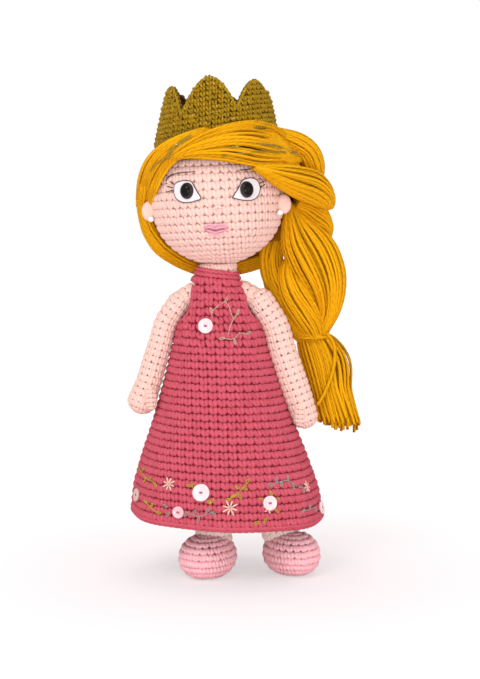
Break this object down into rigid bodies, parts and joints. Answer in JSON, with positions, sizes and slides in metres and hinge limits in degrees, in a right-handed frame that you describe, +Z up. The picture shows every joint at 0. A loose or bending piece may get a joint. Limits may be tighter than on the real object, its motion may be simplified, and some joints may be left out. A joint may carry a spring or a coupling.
{
  "type": "amigurumi doll",
  "caption": "Crocheted amigurumi doll with a side plait, a crown and a flared dress; it stands on its soft shoes, and its arms, legs and plait move.",
  "frame": {"origin": "On the floor under the middle of the doll's bounding box", "axes": "+Z up along the standing doll, -Y the way the face looks, +X the doll's own left"},
  "size_m": [0.1452, 0.1005, 0.3009],
  "materials": {
    "skin_yarn": "matte",
    "golden_yarn": "matte",
    "pink_yarn": "matte",
    "rose_yarn": "matte",
    "old_gold_yarn": "metallic thread",
    "white_felt": "matte",
    "lip_thread": "matte",
    "black_plastic": "gloss",
    "grey_plastic": "matte",
    "pearl": "pearl gloss",
    "button_plastic": "satin"
  },
  "bodies": {
    "body": {"torso": "skin_yarn", "head": "skin_yarn", "left_ear": "skin_yarn", "right_ear": "skin_yarn", "left_earring": "pearl", "right_earring": "pearl", "left_eye_white": "white_felt", "right_eye_white": "white_felt", "left_eye": "black_plastic", "right_eye": "black_plastic", "left_eye_washer": "grey_plastic", "right_eye_washer": "grey_plastic", "lips": "lip_thread", "hair_cap": "golden_yarn", "hair_fringe": "golden_yarn", "hair_swoop_upper": "golden_yarn", "hair_swoop_lower": "golden_yarn", "side_lock": "golden_yarn", "crown": "old_gold_yarn", "dress": "rose_yarn", "chest_button": "button_plastic", "hem_button_1": "button_plastic", "hem_button_2": "button_plastic", "hem_button_3": "button_plastic", "hem_button_4": "button_plastic", "hem_button_5": "button_plastic", "hem_button_6": "button_plastic", "hem_button_7": "button_plastic", "hem_button_8": "button_plastic", "hem_button_9": "button_plastic"},
    "right_arm": {"right_arm": "skin_yarn"},
    "left_arm": {"left_arm": "skin_yarn"},
    "right_leg": {"right_leg": "skin_yarn", "right_shoe": "pink_yarn"},
    "left_leg": {"left_leg": "skin_yarn", "left_shoe": "pink_yarn"},
    "braid": {"braid": "golden_yarn", "hair_tie": "golden_yarn", "tassel": "golden_yarn"}
  },
  "joints": [
    {"name": "right_shoulder", "type": "hinge", "parent": "body", "child": "right_arm", "pos_m": [-0.04286, -0.003, 0.168], "axis": [-1, 0, 0], "range_deg": [-40, 120]},
    {"name": "left_shoulder", "type": "hinge", "parent": "body", "child": "left_arm", "pos_m": [0.00928, -0.003, 0.168], "axis": [-1, 0, 0], "range_deg": [0, 120]},
    {"name": "right_hip", "type": "hinge", "parent": "body", "child": "right_leg", "pos_m": [-0.0235, 0, 0.07], "axis": [-1, 0, 0], "range_deg": [-15, 15]},
    {"name": "left_hip", "type": "hinge", "parent": "body", "child": "left_leg", "pos_m": [0.0045, 0, 0.07], "axis": [-1, 0, 0], "range_deg": [-15, 15]},
    {"name": "plait_swing", "type": "hinge", "parent": "body", "child": "braid", "pos_m": [0.041, 0.014, 0.232], "axis": [1, 0, 0], "range_deg": [0, 30]}
  ]
}
